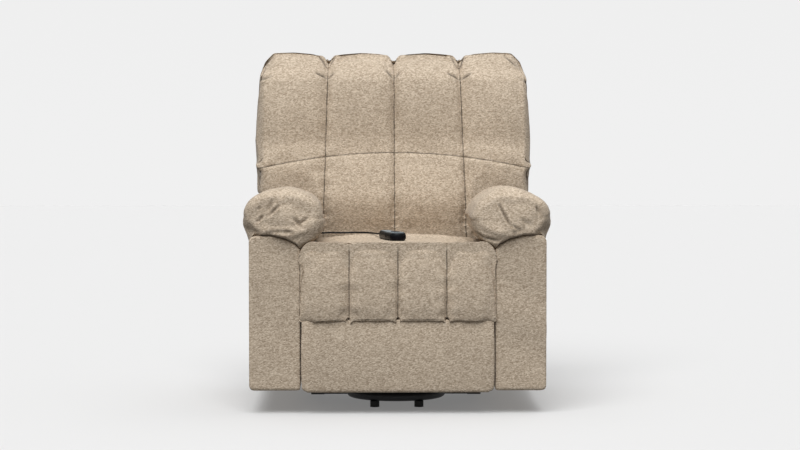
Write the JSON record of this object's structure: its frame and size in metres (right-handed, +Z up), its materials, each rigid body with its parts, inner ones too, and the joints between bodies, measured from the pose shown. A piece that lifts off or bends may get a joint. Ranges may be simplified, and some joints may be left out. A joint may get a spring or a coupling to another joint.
{
  "type": "lift recliner chair",
  "caption": "Upholstered recliner armchair with channel-stitched back, raising footrest, wired handset and a steel lift base that tips it forward.",
  "frame": {"origin": "on the floor under the centre of the chair's bounding box", "axes": "+X to the right seen from the front, -Y to the front, +Z up"},
  "size_m": [0.8942, 0.9378, 1.054],
  "materials": {
    "black_steel": "satin",
    "rubber_feet": "matte",
    "wood_frame": "matte",
    "spring_steel": "satin",
    "beige_fabric": "matte",
    "handset_black": "gloss",
    "handset_top": "gloss",
    "cord_black": "satin",
    "motor_black": "matte",
    "bright_steel": "polished",
    "button_dark": "gloss"
  },
  "bodies": {
    "base": {"base_side_rails": "black_steel", "base_cross_tubes": "black_steel", "base_front_loop": "black_steel", "base_feet": "rubber_feet", "base_pivot_brackets": "black_steel", "lift_motor_clevis": "black_steel"},
    "rear_lift_arms": {"rear_lift_arms": "black_steel", "lift_torsion_tube": "black_steel", "lift_lever": "black_steel"},
    "front_lift_arms": {"front_lift_arms": "black_steel"},
    "chair": {"platform_rails": "black_steel", "platform_cross_tubes": "black_steel", "platform_ears": "black_steel", "arm_brackets": "black_steel", "seat_posts": "black_steel", "seat_side_rails": "black_steel", "seat_spring_rails": "wood_frame", "seat_springs": "spring_steel", "seat_cushion": "beige_fabric", "arm_cover_right": "beige_fabric", "arm_cover_left": "beige_fabric", "arm_frame_right": "wood_frame", "arm_frame_left": "wood_frame", "arm_pillow_right": "beige_fabric", "arm_pillow_left": "beige_fabric", "footrest_mounts": "black_steel", "recline_mounts": "black_steel", "footrest_motor_clevis": "black_steel", "handset_lower_case": "handset_black", "handset_upper_case": "handset_top", "handset_strain_relief": "cord_black", "cord_gland": "cord_black", "handset_cord": "cord_black", "control_box": "handset_black"},
    "back": {"back_frame": "wood_frame", "back_brackets": "black_steel", "back_cushion": "beige_fabric", "back_cover": "beige_fabric"},
    "footrest_cranks": {"footrest_cranks": "black_steel", "footrest_drive_tube": "black_steel", "footrest_lever": "black_steel"},
    "footrest_second_cranks": {"footrest_second_cranks": "black_steel"},
    "footrest_carry_links": {"footrest_carry_links": "black_steel"},
    "footrest_guide_links": {"footrest_guide_links": "black_steel"},
    "footrest": {"footrest_brackets": "black_steel", "footrest_board": "wood_frame", "footrest_pad": "beige_fabric", "footrest_panel": "beige_fabric"},
    "lift_actuator": {"lift_gear_case": "motor_black", "lift_motor": "motor_black", "lift_guide_tube": "motor_black"},
    "lift_rod": {"lift_rod": "bright_steel"},
    "footrest_actuator": {"footrest_gear_case": "motor_black", "footrest_motor": "motor_black", "footrest_guide_tube": "motor_black"},
    "footrest_rod": {"footrest_rod": "bright_steel"},
    "up_button": {"handset_up_button": "button_dark"},
    "down_button": {"handset_down_button": "button_dark"}
  },
  "joints": [
    {"name": "lift", "type": "hinge", "parent": "base", "child": "rear_lift_arms", "pos_m": [0, -0.02, 0.128], "axis": [1, 0, 0], "range_deg": [0, 62]},
    {"name": "lift_front_arms_turn", "type": "hinge", "parent": "base", "child": "front_lift_arms", "pos_m": [0, -0.08, 0.118], "axis": [1, 0, 0], "range_deg": [0, 66.46]},
    {"name": "chair_tip", "type": "hinge", "parent": "rear_lift_arms", "child": "chair", "pos_m": [0, 0.33, 0.089], "axis": [1, 0, 0], "range_deg": [-43.4, 0]},
    {"name": "lift_actuator_tilt", "type": "hinge", "parent": "base", "child": "lift_actuator", "pos_m": [0, 0.263, 0.048], "axis": [1, 0, 0], "range_deg": [0, 8.1]},
    {"name": "lift_rod_slide", "type": "slide", "parent": "lift_actuator", "child": "lift_rod", "axis": [0, -0.8454, 0.5341], "range_m": [0, 0.0736]},
    {"name": "back_recline", "type": "hinge", "parent": "chair", "child": "back", "pos_m": [0, 0.118, 0.378], "axis": [1, 0, 0], "range_deg": [-45, 0]},
    {"name": "footrest_raise", "type": "hinge", "parent": "chair", "child": "footrest_cranks", "pos_m": [0, -0.284, 0.33], "axis": [1, 0, 0], "range_deg": [-84, 0]},
    {"name": "footrest_second_cranks_turn", "type": "hinge", "parent": "chair", "child": "footrest_second_cranks", "pos_m": [0, -0.3548, 0.384], "axis": [1, 0, 0], "range_deg": [-84.5, 0]},
    {"name": "footrest_carry_links_turn", "type": "hinge", "parent": "footrest_cranks", "child": "footrest_carry_links", "pos_m": [0, -0.16661, 0.17429], "axis": [1, 0, 0], "range_deg": [0, 84.5]},
    {"name": "footrest_guide_links_turn", "type": "hinge", "parent": "footrest_cranks", "child": "footrest_guide_links", "pos_m": [0, -0.13049, 0.12638], "axis": [1, 0, 0], "range_deg": [0, 84.5]},
    {"name": "footrest_turn", "type": "hinge", "parent": "footrest_carry_links", "child": "footrest", "pos_m": [0, -0.40261, 0.35429], "axis": [1, 0, 0], "range_deg": [-84.5, 0]},
    {"name": "footrest_actuator_tilt", "type": "hinge", "parent": "chair", "child": "footrest_actuator", "pos_m": [0, 0.06, 0.282], "axis": [1, 0, 0], "range_deg": [0, 0.5]},
    {"name": "footrest_rod_slide", "type": "slide", "parent": "footrest_actuator", "child": "footrest_rod", "axis": [0, -0.9994, 0.0349], "range_m": [0, 0.0682]},
    {"name": "up_button_press", "type": "slide", "parent": "chair", "child": "up_button", "axis": [0, 0, -1], "range_m": [0, 0.0015], "stiffness_N_per_m": 300, "springref_m": -0.0005},
    {"name": "down_button_press", "type": "slide", "parent": "chair", "child": "down_button", "axis": [0, 0, -1], "range_m": [0, 0.0015], "stiffness_N_per_m": 300, "springref_m": -0.0005}
  ],
  "couplings": [
    {"joint": "lift_front_arms_turn", "follows": "lift", "ratio": 1.071},
    {"joint": "chair_tip", "follows": "lift", "ratio": -0.69538},
    {"joint": "lift_actuator_tilt", "follows": "lift", "ratio": 0.12933},
    {"joint": "lift_rod_slide", "follows": "lift", "m_per_rad": 0.067938},
    {"joint": "footrest_second_cranks_turn", "follows": "footrest_raise", "ratio": 1},
    {"joint": "footrest_carry_links_turn", "follows": "footrest_raise", "ratio": -1},
    {"joint": "footrest_guide_links_turn", "follows": "footrest_raise", "ratio": -1},
    {"joint": "footrest_turn", "follows": "footrest_raise", "ratio": 1},
    {"joint": "footrest_actuator_tilt", "follows": "footrest_raise", "ratio": -0.0042176},
    {"joint": "footrest_rod_slide", "follows": "footrest_raise", "m_per_rad": -0.046451}
  ]
}
